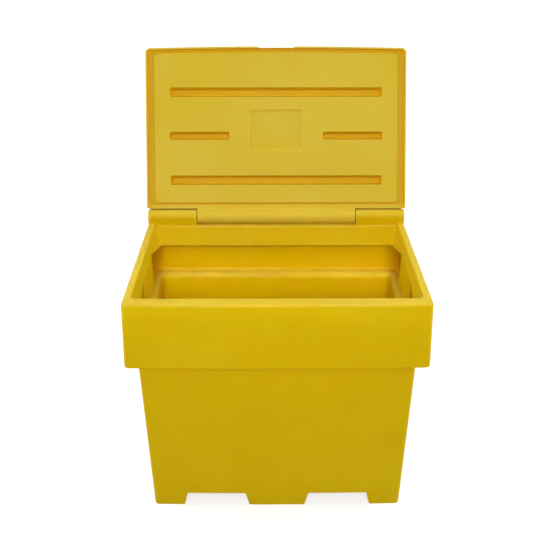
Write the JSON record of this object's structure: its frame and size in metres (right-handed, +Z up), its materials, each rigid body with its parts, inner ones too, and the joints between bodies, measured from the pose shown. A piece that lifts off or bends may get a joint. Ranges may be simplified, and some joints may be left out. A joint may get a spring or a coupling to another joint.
{
  "type": "grit salt bin",
  "caption": "Yellow plastic grit bin with a hinged twin-skinned lid standing open, a stepped rim band, side hand-holds and pallet-truck pockets between its feet.",
  "frame": {"origin": "on the ground, at the middle of the feet", "axes": "+X to the right as the user faces the bin, +Y from the front towards the hinge at the back, +Z up"},
  "size_m": [0.8156, 0.7701, 1.2166],
  "materials": {
    "yellow_moulding": "satin rotationally moulded polyethylene",
    "steel_rod": "drawn zinc-plated rod",
    "yellow_plug": "satin injection-moulded plug"
  },
  "bodies": {
    "bin": {"bin_body": "yellow_moulding", "hinge_rod": "steel_rod", "hinge_plug_left": "yellow_plug", "hinge_plug_right": "yellow_plug"},
    "lid": {"lid": "yellow_moulding"}
  },
  "joints": [
    {"name": "lid_hinge", "type": "hinge", "parent": "bin", "child": "lid", "pos_m": [0, 0.245, 0.737], "axis": [1, 0, 0], "range_deg": [0, 115.3]}
  ]
}
